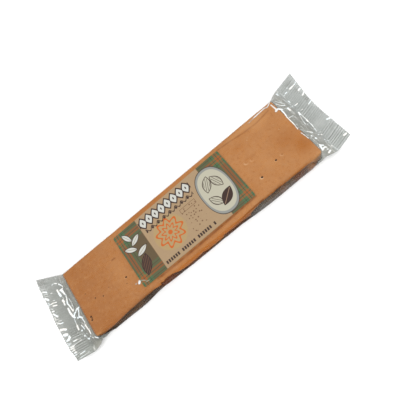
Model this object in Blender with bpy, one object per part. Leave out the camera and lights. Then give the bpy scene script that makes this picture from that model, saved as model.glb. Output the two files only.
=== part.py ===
"""A nougat slice sealed in a clear film pack that lies flat, with a paper label on top.

The pack is one closed film tube round the slice. Past each end of the slice the tube narrows to a
neck, and then the two layers of film are pressed together into a flat crimped seal. The slice runs
along X, its label faces +Z, and the origin is the middle of the underside. Lengths are in metres.
"""

import math

import bmesh
import bpy

# The slice inside, which the film follows closely
SLICE_HALF_LENGTH = 0.0935
SLICE_HEIGHT = 0.0130
FAR_SIDE_Y = 0.0259
NEAR_SIDE_Y = -0.0247
FAR_SHOULDER_RADIUS = 0.0022
NEAR_SHOULDER_RADIUS = 0.0036
FOOT_EDGE_RADIUS = 0.0014
END_ROUNDING = 0.0020
END_DROP = 0.0011
END_TUCK = 0.0006
TOP_SWELL = 0.00022
TOP_SWELL_LENGTH = 0.066

# Towards each end the film stands away from the near side in a long shallow bulge
SIDE_BULGE = {+1: 0.0018, -1: 0.0014}
SIDE_BULGE_START = 0.028
SIDE_BULGE_LENGTH = 0.076

# The film's free ends
GUSSET_START = 0.080
GUSSET_BULGE = 0.0022
CRIMP_START = 0.1020
SEAL_HEIGHT = 0.0064
SEAL_THICKNESS = 0.0008
RIDGE_HEIGHT = 0.00034
RIDGE_RUN_IN = 0.0011
SEAL_SWAY = 0.0006
SEAL_SWAY_WAVES = 1.5
SEAL_SWAY_START = 0.1

# Each seal is a strip of film, given by where its long edges start and end
SEALS = {
    +1: {
        "inner_y": (0.0317, -0.0287),
        "outer_y": (0.0348, -0.0253),
        "outer_x": (0.1166, 0.1147),
        "bow": -0.0022,
        "corner_lift": 0.0008,
    },
    -1: {
        "inner_y": (0.0318, -0.0302),
        "outer_y": (0.0372, -0.0278),
        "outer_x": (0.1142, 0.1169),
        "bow": 0.0022,
        "corner_lift": 0.0030,
    },
}

# The label on the middle of the top
LABEL_LENGTH = 0.0931
LABEL_WIDTH = 0.0401
LABEL_CENTRE = (-0.0021, 0.0012)
LABEL_CORNER_RADIUS = 0.0009
LABEL_THICKNESS = 0.0003
LABEL_GAP = 0.0003
LABEL_FLAT_MARGIN = 0.004
LABEL_FLAT_FADE = 0.016

# How finely the surfaces are divided
SPANS_ACROSS = 60
SLICE_STATIONS = (0.0, 0.012, 0.024, 0.036, 0.048, 0.058, 0.068, 0.078, 0.086, 0.0905)
NECK_STEPS = 3
LABEL_CORNER_STEPS = 4
SHARP_ANGLE = math.radians(50.0)

FILM_COLOUR = (0.62, 0.63, 0.60, 1.0)
PAPER_COLOUR = (0.48, 0.32, 0.19, 1.0)


def clear_scene():
    for item in list(bpy.data.objects):
        bpy.data.objects.remove(item, do_unlink=True)


def make_material(name, colour, roughness, metallic=0.0):
    material = bpy.data.materials.new(name)
    material.use_nodes = True
    shader = material.node_tree.nodes["Principled BSDF"]
    shader.inputs["Base Color"].default_value = colour
    shader.inputs["Roughness"].default_value = roughness
    shader.inputs["Metallic"].default_value = metallic
    return material


def add_object(name, builder, material):
    """Turn a bmesh into an object with outward faces."""
    bmesh.ops.recalc_face_normals(builder, faces=builder.faces[:])
    mesh = bpy.data.meshes.new(name)
    builder.to_mesh(mesh)
    builder.free()
    mesh.materials.append(material)
    mesh.shade_smooth()
    mesh.set_sharp_from_angle(angle=SHARP_ANGLE)
    item = bpy.data.objects.new(name, mesh)
    bpy.context.scene.collection.objects.link(item)
    return item


def mix(start, end, share):
    return start + (end - start) * share


def smooth_step(value, low, high):
    share = min(1.0, max(0.0, (value - low) / (high - low)))
    return share * share * (3.0 - 2.0 * share)


def quarter_outline(share, half_width, half_height, radius):
    """A point on a quarter of a rounded rectangle, as distance across and height from its middle.

    share runs along the film, from 0 at the middle of a side to 1 at the middle of a face.
    """
    straight_side = half_height - radius
    quarter_turn = math.pi * radius / 2.0
    run = share * (straight_side + quarter_turn + half_width - radius)
    if run < straight_side:
        return half_width, run
    if run < straight_side + quarter_turn:
        turn = (run - straight_side) / radius
        across = half_width - radius + radius * math.cos(turn)
        return across, straight_side + radius * math.sin(turn)
    return half_width - radius - (run - straight_side - quarter_turn), half_height


def near_side_bulge(x):
    share = (abs(x) - SIDE_BULGE_START) / SIDE_BULGE_LENGTH
    if share < 0.0:
        return 0.0
    return SIDE_BULGE[1 if x > 0.0 else -1] * math.sin(math.pi * share) ** 2


def slice_ring(x):
    """The film's cross-section where it lies round the slice, as points (x, y, z)."""
    reach = abs(x)
    end_share = smooth_step(reach, SLICE_HALF_LENGTH - END_ROUNDING, SLICE_HALF_LENGTH)
    far_y = FAR_SIDE_Y - END_TUCK * end_share
    near_y = NEAR_SIDE_Y - near_side_bulge(x) + END_TUCK * end_share
    flat_end = LABEL_LENGTH / 2.0 + LABEL_FLAT_MARGIN
    label_free = smooth_step(reach, flat_end, flat_end + LABEL_FLAT_FADE)
    swell = TOP_SWELL * label_free * math.sin(2.0 * math.pi * x / TOP_SWELL_LENGTH)
    height = SLICE_HEIGHT + swell - END_DROP * end_share
    foot = END_DROP * end_share
    middle_z = SLICE_HEIGHT / 2.0
    bulge = GUSSET_BULGE * smooth_step(reach, GUSSET_START, SLICE_HALF_LENGTH)
    centre_y = (far_y + near_y) / 2.0
    half_width = (far_y - near_y) / 2.0
    ring = []
    for number in range(2 * SPANS_ACROSS):
        on_top = number < SPANS_ACROSS
        share = number / SPANS_ACROSS if on_top else 2.0 - number / SPANS_ACROSS
        side = 1.0 if share <= 0.5 else -1.0
        half_height = height - middle_z if on_top else middle_z - foot
        shoulder = FAR_SHOULDER_RADIUS if side > 0.0 else NEAR_SHOULDER_RADIUS
        radius = shoulder if on_top else FOOT_EDGE_RADIUS
        quarter = 1.0 - abs(2.0 * share - 1.0)
        across, up = quarter_outline(quarter, half_width, half_height, radius)
        at_side = smooth_step(across, half_width - 2.0 * shoulder, half_width)
        across += bulge * at_side * (1.0 - (up / half_height) ** 2)
        z = middle_z + (up if on_top else -up)
        ring.append((x, centre_y + side * across, z))
    return ring


def seal_ring(end, depth):
    """The cross-section of a crimped seal. depth is 0 at its inner line and 1 at its cut edge."""
    seal = SEALS[end]
    far_y = mix(seal["inner_y"][0], seal["outer_y"][0], depth)
    near_y = mix(seal["inner_y"][1], seal["outer_y"][1], depth)
    ring = []
    for number in range(2 * SPANS_ACROSS):
        on_top = number < SPANS_ACROSS
        share = number / SPANS_ACROSS if on_top else 2.0 - number / SPANS_ACROSS
        outer_x = mix(seal["outer_x"][0], seal["outer_x"][1], share)
        outer_x += seal["bow"] * math.sin(math.pi * share)
        x = mix(CRIMP_START, outer_x, depth)
        rise = min(1.0, (x - CRIMP_START) / RIDGE_RUN_IN)
        column = round(share * SPANS_ACROSS)
        ridge = RIDGE_HEIGHT * rise * (1.0 if column % 2 else -1.0)
        sway_turns = SEAL_SWAY_WAVES * share + SEAL_SWAY_START
        sway = SEAL_SWAY * depth * math.sin(2.0 * math.pi * sway_turns)
        lift = seal["corner_lift"] * (depth * (1.0 - share)) ** 2
        at_edge = number in (0, SPANS_ACROSS)
        half_thickness = 0.0 if at_edge else SEAL_THICKNESS / 2.0
        z = SEAL_HEIGHT + ridge + sway + lift + (half_thickness if on_top else -half_thickness)
        ring.append((end * x, mix(far_y, near_y, share), z))
    return ring


def neck_ring(end, share):
    """Taut film between the slice's end and the seal, which are joined by straight lines."""
    inner = slice_ring(end * SLICE_HALF_LENGTH)
    outer = seal_ring(end, 0.0)
    return [tuple(mix(a, b, share) for a, b in zip(p, q)) for p, q in zip(inner, outer)]


def end_rings(end):
    """The rings of one free end, from the slice outwards."""
    rings = [neck_ring(end, step / NECK_STEPS) for step in range(NECK_STEPS)]
    run_in = RIDGE_RUN_IN / (SEALS[end]["outer_x"][0] - CRIMP_START)
    rings += [seal_ring(end, depth) for depth in (0.0, run_in, 0.5, 1.0)]
    return rings


def build_film_pack(material):
    stations = sorted({-x for x in SLICE_STATIONS} | set(SLICE_STATIONS))
    rings = end_rings(-1)[::-1] + [slice_ring(x) for x in stations] + end_rings(+1)
    builder = bmesh.new()
    loops = [[builder.verts.new(point) for point in ring] for ring in rings]
    count = 2 * SPANS_ACROSS
    for first, second in zip(loops, loops[1:]):
        for number in range(count):
            after = (number + 1) % count
            builder.faces.new((first[number], first[after], second[after], second[number]))
    for loop in (loops[0], loops[-1]):
        close_cut_edge(builder, loop)
    return add_object("film_pack", builder, material)


def close_cut_edge(builder, loop):
    """Join the top layer to the bottom layer along a seal's cut edge."""
    count = len(loop)
    for number in range(SPANS_ACROSS):
        upper = (loop[number], loop[number + 1])
        lower = (loop[(count - number) % count], loop[count - number - 1])
        corners = list(dict.fromkeys((upper[0], upper[1], lower[1], lower[0])))
        builder.faces.new(corners)


def label_outline():
    half_length = LABEL_LENGTH / 2.0
    half_width = LABEL_WIDTH / 2.0
    points = []
    for corner, (side_x, side_y) in enumerate(((1, 1), (-1, 1), (-1, -1), (1, -1))):
        centre_x = LABEL_CENTRE[0] + side_x * (half_length - LABEL_CORNER_RADIUS)
        centre_y = LABEL_CENTRE[1] + side_y * (half_width - LABEL_CORNER_RADIUS)
        for step in range(LABEL_CORNER_STEPS + 1):
            turn = math.pi / 2.0 * (corner + step / LABEL_CORNER_STEPS)
            x = centre_x + LABEL_CORNER_RADIUS * math.cos(turn)
            y = centre_y + LABEL_CORNER_RADIUS * math.sin(turn)
            points.append((x, y))
    return points


def build_label(material):
    low = SLICE_HEIGHT + LABEL_GAP
    builder = bmesh.new()
    face = builder.faces.new([builder.verts.new((x, y, low)) for x, y in label_outline()])
    raised = bmesh.ops.extrude_face_region(builder, geom=[face])["geom"]
    corners = [part for part in raised if isinstance(part, bmesh.types.BMVert)]
    bmesh.ops.translate(builder, verts=corners, vec=(0.0, 0.0, LABEL_THICKNESS))
    return add_object("label", builder, material)


def main():
    clear_scene()
    build_film_pack(make_material("clear film", FILM_COLOUR, 0.15))
    build_label(make_material("label paper", PAPER_COLOUR, 0.6))


main()
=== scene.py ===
"""The looks of a nougat slice in its clear film pack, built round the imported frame.

Lengths are in metres on the frame's own axes: X along the slice, Y across it and Z up. The near side
is -Y and the far side is +Y. The film and the slice inside it replace the frame's one closed pack.
"""

import contextlib
import itertools
import math

import bmesh
import bpy
import numpy as np
from mathutils import Matrix, Vector
from mathutils.bvhtree import BVHTree


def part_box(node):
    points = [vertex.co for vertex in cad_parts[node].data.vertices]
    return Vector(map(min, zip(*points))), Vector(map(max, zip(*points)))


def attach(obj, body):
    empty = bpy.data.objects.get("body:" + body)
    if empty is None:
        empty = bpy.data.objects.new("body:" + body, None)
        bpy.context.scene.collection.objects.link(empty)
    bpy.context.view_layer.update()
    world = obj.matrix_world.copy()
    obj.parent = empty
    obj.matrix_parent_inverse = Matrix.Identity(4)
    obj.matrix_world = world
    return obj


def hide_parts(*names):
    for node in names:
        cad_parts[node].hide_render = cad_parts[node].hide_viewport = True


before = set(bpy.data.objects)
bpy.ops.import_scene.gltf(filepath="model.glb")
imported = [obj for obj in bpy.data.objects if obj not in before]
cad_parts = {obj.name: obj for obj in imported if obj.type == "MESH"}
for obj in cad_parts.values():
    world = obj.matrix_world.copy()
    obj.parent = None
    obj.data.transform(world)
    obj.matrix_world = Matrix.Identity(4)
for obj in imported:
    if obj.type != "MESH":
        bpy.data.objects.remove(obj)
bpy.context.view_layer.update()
PACK_LOW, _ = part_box("film_pack")
LABEL_LOW, LABEL_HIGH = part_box("label")
BODY = "root"
MM = 0.001

# The film, which keeps to the frame's own outline
LABEL_GAP = 0.3 * MM
FILM_TOP_Z = LABEL_LOW.z - LABEL_GAP
FILM_BOTTOM_Z = PACK_LOW.z + 0.34 * MM
FAR_SIDE_Y = 26.1 * MM
NEAR_SIDE_Y = -24.7 * MM
FILM_END_X = 93.5 * MM
FAR_SHOULDER = 1.3 * MM
NEAR_SHOULDER = 3.6 * MM
FOOT_RADIUS = 1.4 * MM
END_DROP = 1.1 * MM
END_TUCK = 0.6 * MM
GUSSET_START = 80 * MM
GUSSET_BULGE = 2.2 * MM
CRIMP_X = 102 * MM
SEAL_Z = 6.4 * MM
SEAL_GAP = 0.16 * MM
SEAL_WIDTH = 63 * MM
RIDGE_COUNT = 37
RIDGE_HEIGHT = 0.20 * MM
SEALS = {
    +1: {
        "inner_y": (31.7 * MM, -28.7 * MM),
        "outer_y": (34.8 * MM, -25.3 * MM),
        "outer_x": (116.6 * MM, 114.7 * MM),
        "bow": -2.2 * MM,
        "corner_lift": 0.8 * MM,
        "curl": 0.25 * MM,
    },
    -1: {
        "inner_y": (31.8 * MM, -30.2 * MM),
        "outer_y": (37.2 * MM, -27.8 * MM),
        "outer_x": (114.2 * MM, 116.9 * MM),
        "bow": 2.2 * MM,
        "corner_lift": 3 * MM,
        "curl": 0.8 * MM,
    },
}
FLARES = {+1: {"far": 0.65, "near": 0.75}, -1: {"far": 1.2, "near": 0.38}}
SEAL_SWAY = 0.6 * MM
SEAL_DEPTH = 14 * MM
CUT_TEETH = 0.16 * MM
FILM_SPANS = 220
FILM_END_STEP = 0.42 * MM
FILM_TUBE_STEP = 2.6 * MM

# The slice inside: a dark core with a lighter coat of nougat that laps over its sides
SLICE_TOP_Z = FILM_TOP_Z - 0.22 * MM
SLICE_FOOT_Z = FILM_BOTTOM_Z + 0.1 * MM
SLICE_FAR_Y = 25.8 * MM
SLICE_NEAR_Y = -24.4 * MM
SLICE_END_X = {+1: 92.9 * MM, -1: -93.4 * MM}
SLICE_END_SKEW = {+1: (0.05 * MM, 0.45 * MM), -1: (0.65 * MM, 0.9 * MM)}
CORNERS = {
    (+1, +1): 1.6 * MM,
    (-1, +1): 1 * MM,
    (-1, -1): 1.2 * MM,
    (+1, -1): 1.7 * MM,
}
EDGE_RADIUS = {"far": 1.1 * MM, "near": 3.1 * MM, "end": 1.3 * MM}
COAT_THICKNESS = 0.55 * MM
FILM_CLEARANCE = 0.26 * MM
SWELL = 0.22 * MM
SWELL_LENGTH = 66 * MM
OUTLINE_POINTS = 880
TOP_RINGS = 46
LAP_RINGS = 18
INNER_RINGS = 6
CORE_TOP_RINGS = 5
CORE_SIDE_RINGS = 30
CORE_FOOT_RINGS = 4
CORE_UNDER_RINGS = 12
COAT_UNDER_FILM = 0.04 * MM
CORE_UNDER_FILM = 0.06 * MM

# How far the film stands out beyond its near side, as place along X and distance
NEAR_BULGE = (
    (-93, 0.1), (-88, 0.15), (-84, 1.3), (-80, 1.2), (-72, 1.15), (-64, 1.35), (-60, 1.45), (-56, 1.2),
    (-52, 0.8), (-48, 0.3), (-44, 0.1), (-40, 0), (-36, 0.2), (-32, 0.25), (-24, 0.3), (-16, 0.5),
    (-4, 0.48), (6, 0.38), (16, 0.43), (26, 0.42), (30, 0.75), (36, 1.1), (42, 1.35), (48, 1.6),
    (56, 1.62), (66, 1.5), (76, 1.42), (84, 1.5), (88, 0.7), (93, 0.15),
)
NEAR_DENT = (-41.0, 6.0, 0.2)

# How far the far side stands out, as place along X and distance
FAR_BOW = (
    (-93, 0.15), (-80, 0.36), (-60, 0.18), (-44, 0.05), (64, 0), (76, -0.12), (85, -0.36), (93, -0.3),
)

# How far the coat laps down over the near side, from its top edge, as place along X and length
NEAR_LAP = (
    (-93, 9), (-85, 9.2), (-80, 8.8), (-75, 7.4), (-70, 5.7), (-65, 4.6), (-60, 4.3), (-50, 3.8),
    (-45, 4), (-41.5, 4.9), (-39.5, 6.2), (-38.4, 3.3), (-37, 3.8), (-35, 2.9), (-31.5, 2.4), (-29, 2.8),
    (-27, 4), (-25.2, 7.4), (-22, 9), (-15, 9.5), (-8, 9.3), (-5, 7.8), (-2, 10), (5, 10.8), (11.6, 11),
    (12.3, 7.9), (20, 9.3), (28, 9), (33, 10.5), (34.1, 11.6), (34.9, 8.2), (36, 6.8), (40, 5.1),
    (45, 4.2), (55, 3.8), (65, 4.3), (75, 4.9), (83.4, 5), (84.6, 6.4), (85.8, 8), (87, 11), (92, 11.4),
)
OTHER_LAP = {"far": 7 * MM, "end": 5.5 * MM}

# Painted shade in the near side: a dark line along a crease and a darker band below it; x and height of each
# point, and then half width and strength
SIDE_SHADE_LINES = (
    (11, 6.2, 20, 7.8, 28, 10.3, 35, 11.2, 46, 11.5, 0.45, 0.9),
    (13, 5.4, 20, 6.3, 28, 7.6, 33, 7.4, 1.7, 0.5),
)

# Places along the near side where the dark core is ruddier, with half width and strength
RUDDY_PLACES = (
    (-34, 7, 0.9), (-10, 12, 0.5), (22, 9, 0.4), (61, 3, 0.8), (74, 5, 0.9), (84.5, 6, 1.7),
)

# Air holes in the top: place, width across, depth and how strong the painted highlight is on one side of the
# rim; the holes are darkened as painted shade
AIR_HOLES = (
    (68.7, -9.3, 1.62, 0.75, 0.3), (54.9, -12.2, 1.8, 0.75, 1), (74.1, -8.8, 1.9, 0.05, 0.3),
    (53.6, 2.4, 2.4, 0.02, 0.45), (57.6, 1.5, 1.9, 0.02, 0.35), (-55.6, -5.9, 1.56, 0.69, 0.2),
    (-57.4, -9.8, 0.96, 0.19, 0.1), (-81.3, -3.4, 1.08, 0.44, 0.1), (-75.8, -5.9, 1.08, 0.38, 0.1),
    (-86, 3.4, 0.84, 0.25, 0.1), (-69.5, -3.6, 0.84, 0.19, 0.1), (-63, 5.5, 0.72, 0.15, 0.2),
    (-90.3, -11.7, 1.6, 0.75, 0.2), (-90.1, -12.9, 1.1, 0.6, 0.1), (-90.7, -14, 1.5, 0.7, 0.2),
    (84, 6, 0.84, 0.12, 0.5), (64, 14.6, 0.7, 0.05, 0.6),
)

# Patches of the top that are deeper in colour, or paler below 0: place, half sizes and strength. Besides the
# nougat's uneven tone they hold painted shade, and painted sheen and light where they are paler
TONE_SHADE_AND_SHEEN_PATCHES = (
    (82, -2, 12, 7, 0.5), (88, -14, 7, 6, 0.8), (77, 19.5, 9, 6, -0.75), (56, 22, 8, 3, -0.4),
    (55, 14, 7, 4, 0.45), (2, -21, 30, 2.2, 0.55), (-20, 24, 26, 2.2, 0.7), (20, 24.2, 24, 1.8, 0.35),
    (-91, 14, 4.5, 16, -0.35), (-72, -21, 18, 4, 0.15), (47, -16, 4, 5, 0.4), (65, -5, 7, 9, -0.55),
    (70, 23, 13, 1.7, -0.9), (-58, -2, 7, 12, -0.4), (89.5, -25, 4.5, 2.2, -1.3),
    (-91, -24.6, 4.5, 1.8, -0.9),
)

# Dark lines on the top: a scratch, and painted shade in the label's shadow along its near edge and along
# film creases; x and y of each point, and then half width and strength
SCORES_AND_SHADE_LINES = (
    (-38, -20.9, -20, -20.9, 10, -20.5, 30, -19.9, 44, -19.5, 0.75, 1), (-57.6, 9.9, -55, 9.8, 0.45, 1.6),
    (44, 22.6, 56, 21.6, 66, 20, 76, 19.6, 87, 21.2, 0.45, 0.65), (38.5, -21, 37.9, -22.8, 0.4, 0.35),
)

# Creases in the film's upper layer and their painted glints: x and y of each point, then half width and how
# white the painted glint is
CREASE_GLINTS = (
    (72, 22.9, 76, 23.5, 0.24, 0.5), (76, 23.5, 86.7, 24, 88.7, 23.2, 90.9, 24.5, 91.6, 25, 0.35, 0.9),
    (-50, -14.9, -49.4, -14.4, 0.85, 1), (-52.4, -14.1, -52, -14.1, 0.45, 0.5),
    (-114.3, 26.3, -112.8, 25.3, 0.45, 0.85), (-110.9, 22.7, -109.7, 22.3, 0.35, 0.45),
    (-115.7, 21.6, -114.5, 19.8, 0.6, 0.95), (-116.1, 18, -115.2, 17, 0.35, 0.5),
    (-114.5, 16.1, -112.7, 15.9, -110.2, 14.8, 0.4, 0.6), (-113.6, 14.1, -111.1, 13, 0.4, 0.75),
    (-111.8, 17.3, -110.7, 16.8, 0.35, 0.45), (-116.4, 13.8, -115, 12.2, 0.35, 0.45),
    (-116.1, 11.1, -115, 10.7, 0.45, 0.85), (-116.4, 9.3, -114.5, 5.9, 0.5, 0.95),
    (-116.8, 6.5, -116.4, 6.3, 0.4, 0.6), (-116.6, 2, -115, 0.5, -113.2, -0.1, 0.35, 0.75),
    (-115.5, 2.9, -113.6, 2, 0.35, 0.5), (-116.8, -3.5, -115, -4.2, -113.2, -5.5, 0.6, 1),
    (-116.7, -7.6, -114.3, -8.7, 0.75, 0.9), (-116.1, -8.5, -114.5, -9.2, 0.5, 0.9),
    (-116.4, -12.3, -113.4, -11.8, 0.55, 1), (-113.6, -10.8, -115.2, -12.6, 0.55, 1),
    (-116.8, -17.4, -113.6, -18.1, 0.38, 0.65), (-116.8, -19, -114.1, -19.2, 0.35, 0.45),
    (-116.6, -20.4, -114.5, -20.8, 0.4, 0.5), (-116.1, -22.2, -114.8, -22.2, 0.5, 0.65),
    (-116.4, -23.6, -115.2, -23.8, 0.5, 0.5), (-112.3, -15.6, -110, -16, 0.35, 0.75),
    (-110, -16, -107.2, -17, 0.28, 0.4), (-113.6, -17.9, -106.8, -18.1, 0.28, 0.45),
    (-114.1, -19.9, -107.2, -20.1, 0.25, 0.25), (-112.7, -25.2, -108.6, -25.6, 0.32, 0.65),
    (-114.1, -27.2, -106.3, -27.7, 0.3, 0.45), (-107.2, 27.3, -105.9, 27.5, 0.35, 0.55),
    (-105, 27.1, -103.8, 26.2, 0.38, 0.75), (-102.7, 24.8, -101.4, 23, -99.9, 20.6, 0.42, 0.8),
    (-103.8, 20, -101.4, 20.1, 0.5, 1), (-102.7, 19.8, -102, 15.9, 0.62, 1),
    (-105.6, 21.8, -105.6, 18.9, 0.48, 1), (-105.6, 18.9, -105.3, 16.6, 0.66, 1),
    (-104.5, 14.8, -104.5, 13.4, 0.4, 0.4), (-105.6, 12.9, -105.4, 11.6, 0.7, 1),
    (-105.9, 10.4, -105.9, 9.3, 0.48, 0.9),
    (-101.4, 14.6, -102.5, 11.1, -103.6, 8.8, -102.9, 5.6, -102.7, 2, 0.46, 0.8),
    (-100.3, 10.7, -99.9, 6.9, -101, 3.1, -102, 2, 0.34, 0.5),
    (-105, 5.6, -105.2, 2.4, -104.7, -0.8, -103.8, -2.6, 0.58, 1),
    (-103.8, -2.6, -102.2, -3.7, -100.3, -4.8, 0.28, 0.6),
    (-103.4, -1.4, -102.2, -0.1, -98.9, 0.3, -95.4, -0.5, 0.48, 1),
    (-97.1, -1.2, -98.5, -2.9, -100.3, -4.5, -97.1, -7.5, 0.52, 1), (-102, -4.4, -98.9, -5.3, 0.45, 0.9),
    (-97.8, -8.1, -97.1, -10.7, 0.45, 0.9), (-104.7, -3.5, -105, -7.6, 0.38, 0.55),
    (-105, -8.5, -105.4, -11.2, 0.52, 1), (-102, -10.3, -101, -13.5, 0.52, 0.9),
    (-100.3, -9.5, -100.2, -10, 0.4, 0.45), (-97.8, -13, -97.8, -15.7, 0.58, 1),
    (-97.1, -16.8, -97.5, -19.6, 0.55, 1), (-103.5, -13.2, -103.5, -13.4, 0.48, 0.9),
    (-104.5, -15.5, -104.5, -15.7, 0.36, 0.5), (-103.6, -17.3, -103.6, -17.5, 0.46, 0.8),
    (-101, -17.2, -101, -17.5, 0.36, 0.6), (-102, -20.8, -101.7, -20.9, 0.52, 1),
    (-99.4, -20.6, -99.1, -20.7, 0.4, 0.7), (-98.2, -22, -97.1, -23.3, 0.36, 0.5),
    (-95.6, -23.6, -94.4, -25.2, 0.34, 0.8), (108.1, 27.7, 108.5, 27.8, 0.35, 0.5),
    (109.2, 25.9, 110.8, 26, 0.5, 0.95), (110.8, 26, 113.8, 26.1, 115.1, 27, 0.28, 0.65),
    (104.9, 25.5, 106.2, 25.6, 0.35, 0.75), (103.3, 24.8, 104, 25, 0.3, 0.4),
    (112.6, 21, 113.8, 21.2, 0.5, 0.95), (112.2, 16.6, 113.1, 16.9, 114.2, 17.6, 0.42, 0.75),
    (103.7, 14.2, 105.8, 14.2, 0.35, 0.6), (110.6, 8.9, 111.9, 9.2, 113.5, 9.8, 0.3, 0.75),
    (104, 8.9, 105.6, 8.6, 0.3, 0.4), (93.9, 7.8, 97.2, 8, 0.3, 0.5),
    (111.5, -7.8, 113.3, -8.7, 0.48, 0.85), (111.7, -23.1, 113.3, -23.1, 0.5, 0.95),
    (95.5, -19.4, 94.8, -21.6, 94.4, -23.2, 0.46, 1),
    (94.4, -23.2, 96, -22.4, 97, -22.2, 97.9, -22.7, 0.4, 0.9), (95.6, -19.6, 97.1, -20.7, 0.42, 0.9),
    (97.4, -24.2, 97.8, -24.2, 0.4, 0.6), (96.7, -26.2, 98.4, -25.8, 0.4, 0.95),
    (101.3, -23.5, 101.7, -23.5, 0.33, 0.55), (98.5, 14.8, 98.5, 12.9, 0.58, 0.85),
    (98.8, 12.3, 99.4, 8.9, 0.29, 0.34), (94.2, 21.5, 96.3, 19.1, 98.5, 17.9, 0.28, 0.7),
    (95.2, 24.3, 97.2, 21.8, 99.1, 18.8, 0.26, 0.5), (93.6, 23.1, 94.4, 21.4, 0.26, 0.4),
    (90.9, 22.7, 91.4, 18.5, 90.5, 16.7, 0.48, 0.85), (90.5, 16.9, 92.5, 17.4, 94.2, 15.9, 0.62, 1),
    (93.7, 14.9, 93.6, 12.2, 92.8, 8.3, 92.9, 4.3, 92.7, 0.3, 92.3, -2.4, 0.37, 1),
    (92, -5.9, 92.7, -9.1, 92.9, -11.7, 0.32, 0.8),
    (101.9, 8.7, 101.1, 6.6, 99.7, 2.2, 99, -2.1, 0.29, 0.47),
    (101.9, 8.7, 102.1, 4.5, 101.9, 0.4, 102.1, -4.6, 101.3, -9.7, 0.27, 0.55),
    (101.9, 8.4, 101.8, 7, 0.42, 0.85), (102, 0.5, 101.9, -0.7, 0.41, 0.85),
    (100.2, 29.6, 100.5, 27.4, 0.38, 0.55), (102.6, 28.3, 102.8, 22.8, 0.24, 0.34),
    (100.8, 22.9, 101.9, 16, 0.31, 0.36), (102.6, 19.6, 102.8, 18.2, 0.41, 0.51),
    (92.5, -3.3, 94.4, -4.1, 95, -6.2, 97.7, -9.6, 101.3, -11.3, 103.3, -11.7, 0.26, 0.32),
    (96.3, -7, 98.5, -9.2, 0.33, 0.6), (96, -10.9, 96, -11.4, 0.37, 0.8),
    (96.9, -13.8, 97.2, -14.2, 0.46, 0.95), (100.4, -12.3, 100.6, -12.5, 0.41, 0.51),
    (102, -13.3, 102.2, -13.7, 0.41, 0.59), (101.1, -17.4, 101.1, -17.7, 0.31, 0.51),
    (99.4, -15, 99.4, -15.3, 0.3, 0.34),
)

# Patches of film that look darker, partly as painted shade, or lighter below 0 as painted light where glints
# gather: place, half sizes and strength
FILM_SHADES = (
    (112.6, 13, 2, 4, 0.7), (111.5, 22, 2, 3, 0.5), (110.8, -13, 2.5, 2, 0.4), (111, 30, 3, 3, 0.4),
    (113, 0, 1.6, 4, 0.6), (107, -6.5, 5, 4, -0.5), (99, -15, 3, 5, -0.5), (96.5, 6, 2.5, 9, 0.1),
    (-99, 12, 2.5, 12, 0.35), (-101, -24, 4, 4, 0.35), (-113, 33, 4, 3, 0.6), (-91, -25.4, 6, 2.2, 1.2),
    (-108, -11, 4, 5, 0.3), (60, -26, 25, 2.5, 1.7), (92.6, -25.8, 1.6, 1.6, -0.7),
)

# How strongly the crimp's ridges show at each end, by place across
RIDGE_SHOWS = {
    +1: (
        (-11.8, 0.75), (-10, 0.15), (-4, 0.15), (-2.6, 0.7), (5, 0.7), (8.5, 0.4), (13, 0.5), (24, 0.35),
    ),
    -1: ((-27, 0.6), (-19, 0.9), (-13, 0.6), (-10, 0.1), (34, 0.1)),
}

# The label, and its print in millimetres from its middle
LABEL_SIZE = (92.9 * MM, 41.4 * MM)
LABEL_MIDDLE = (-2.2 * MM, 1.2 * MM)
LABEL_TURN = math.radians(0.6)
LABEL_CORNER = 1.2 * MM
LABEL_THICKNESS = 0.18 * MM
LABEL_COLUMNS = 108
LABEL_ROWS = 48
KRAFT_SPAN = (-27.0, 27.5)
DISC = ((-11.5, -2.6), 12.0)
PLAQUE = ((29.6, -0.8), (11.4, 17.6))
BEAD_ROW = {"middle": -4.6, "half_run": 21.6, "height": 14.8, "step": 5.4, "half": (2.45, 3.7)}
VINE = {"middle": -4.2, "half_run": 20.4, "height": 8.4, "step": 5.1, "swing": 1.15}
STITCHES = {"middle": -4.6, "half_run": 20.9, "height": -17.5, "step": 1.9, "group": 13.3}
PRINT_SOFTNESS = 0.09
TARTAN_LINES = {"along": (43.4, 21.7), "across": (15.6, 31.2)}
TWILL = 0.62

# Leaves and nuts of the print: middle, half length and half width, and turn
NUT_OUTLINES = (
    ((26.6, 6.4), (5.8, 2.9), 62), ((33.2, 4.4), (5.6, 2.7), 112), ((25.3, -6.6), (5.4, 2.6), -52),
)
NUT_FILLED = ((32.6, -8.6), (6.8, 3.6), 38.0)
SPRIG_LEAVES = (
    ((-38.6, 14.2), (4.4, 1.5), 118), ((-34.2, 9.4), (4.6, 1.6), 28), ((-40.4, 5.6), (4.6, 1.6), 150),
    ((-34, 0.4), (4.8, 1.7), 20),
)
SPRIG_POD = ((-36.6, -9.2), (7.6, 3.7), 66.0)

# Painted reflections of film wrinkles over the label's corner: middle, half length and half width, and turn
LABEL_WRINKLE_REFLECTIONS = (
    ((-44.6, -16.2), (2.6, 0.3), -38), ((-42.4, -18.4), (1.8, 0.25), -12),
)

# Crumbs that lie loose in the film: low corner and high corner of each flat patch
CRUMB_PATCHES = (
    ((83.5, -25.9, 1.6), (90, -25.3, 5.4)), ((94, -21, 2), (95.6, 16, 3.2)),
    ((-95.8, -18, 3.4), (-94.8, 18, 2.2)),
)

CRUMB_DENSITY = 5.0e5
CRUMB_SIZE = 0.38 * MM

# The flat seam on the underside
SEAM_END_X = 102.5 * MM
SEAM_MIDDLE_Y = -0.6 * MM
SEAM_HALF_WIDTH = 5.2 * MM
SEAM_THICKNESS = 0.3 * MM
SEAM_RINGS = 300
SEAM_SPANS = 48

# The camera, solved from the corners of the slice and its label
CAMERA_PLACE = (30.6 * MM, -90.8 * MM, 248.25 * MM)
CAMERA_ELEVATION = math.radians(68.03)
CAMERA_HEADING = math.radians(-9.67)
CAMERA_ROLL = math.radians(-48.58)
CAMERA_LENS = 34.65
CAMERA_SENSOR = 36.0

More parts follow.
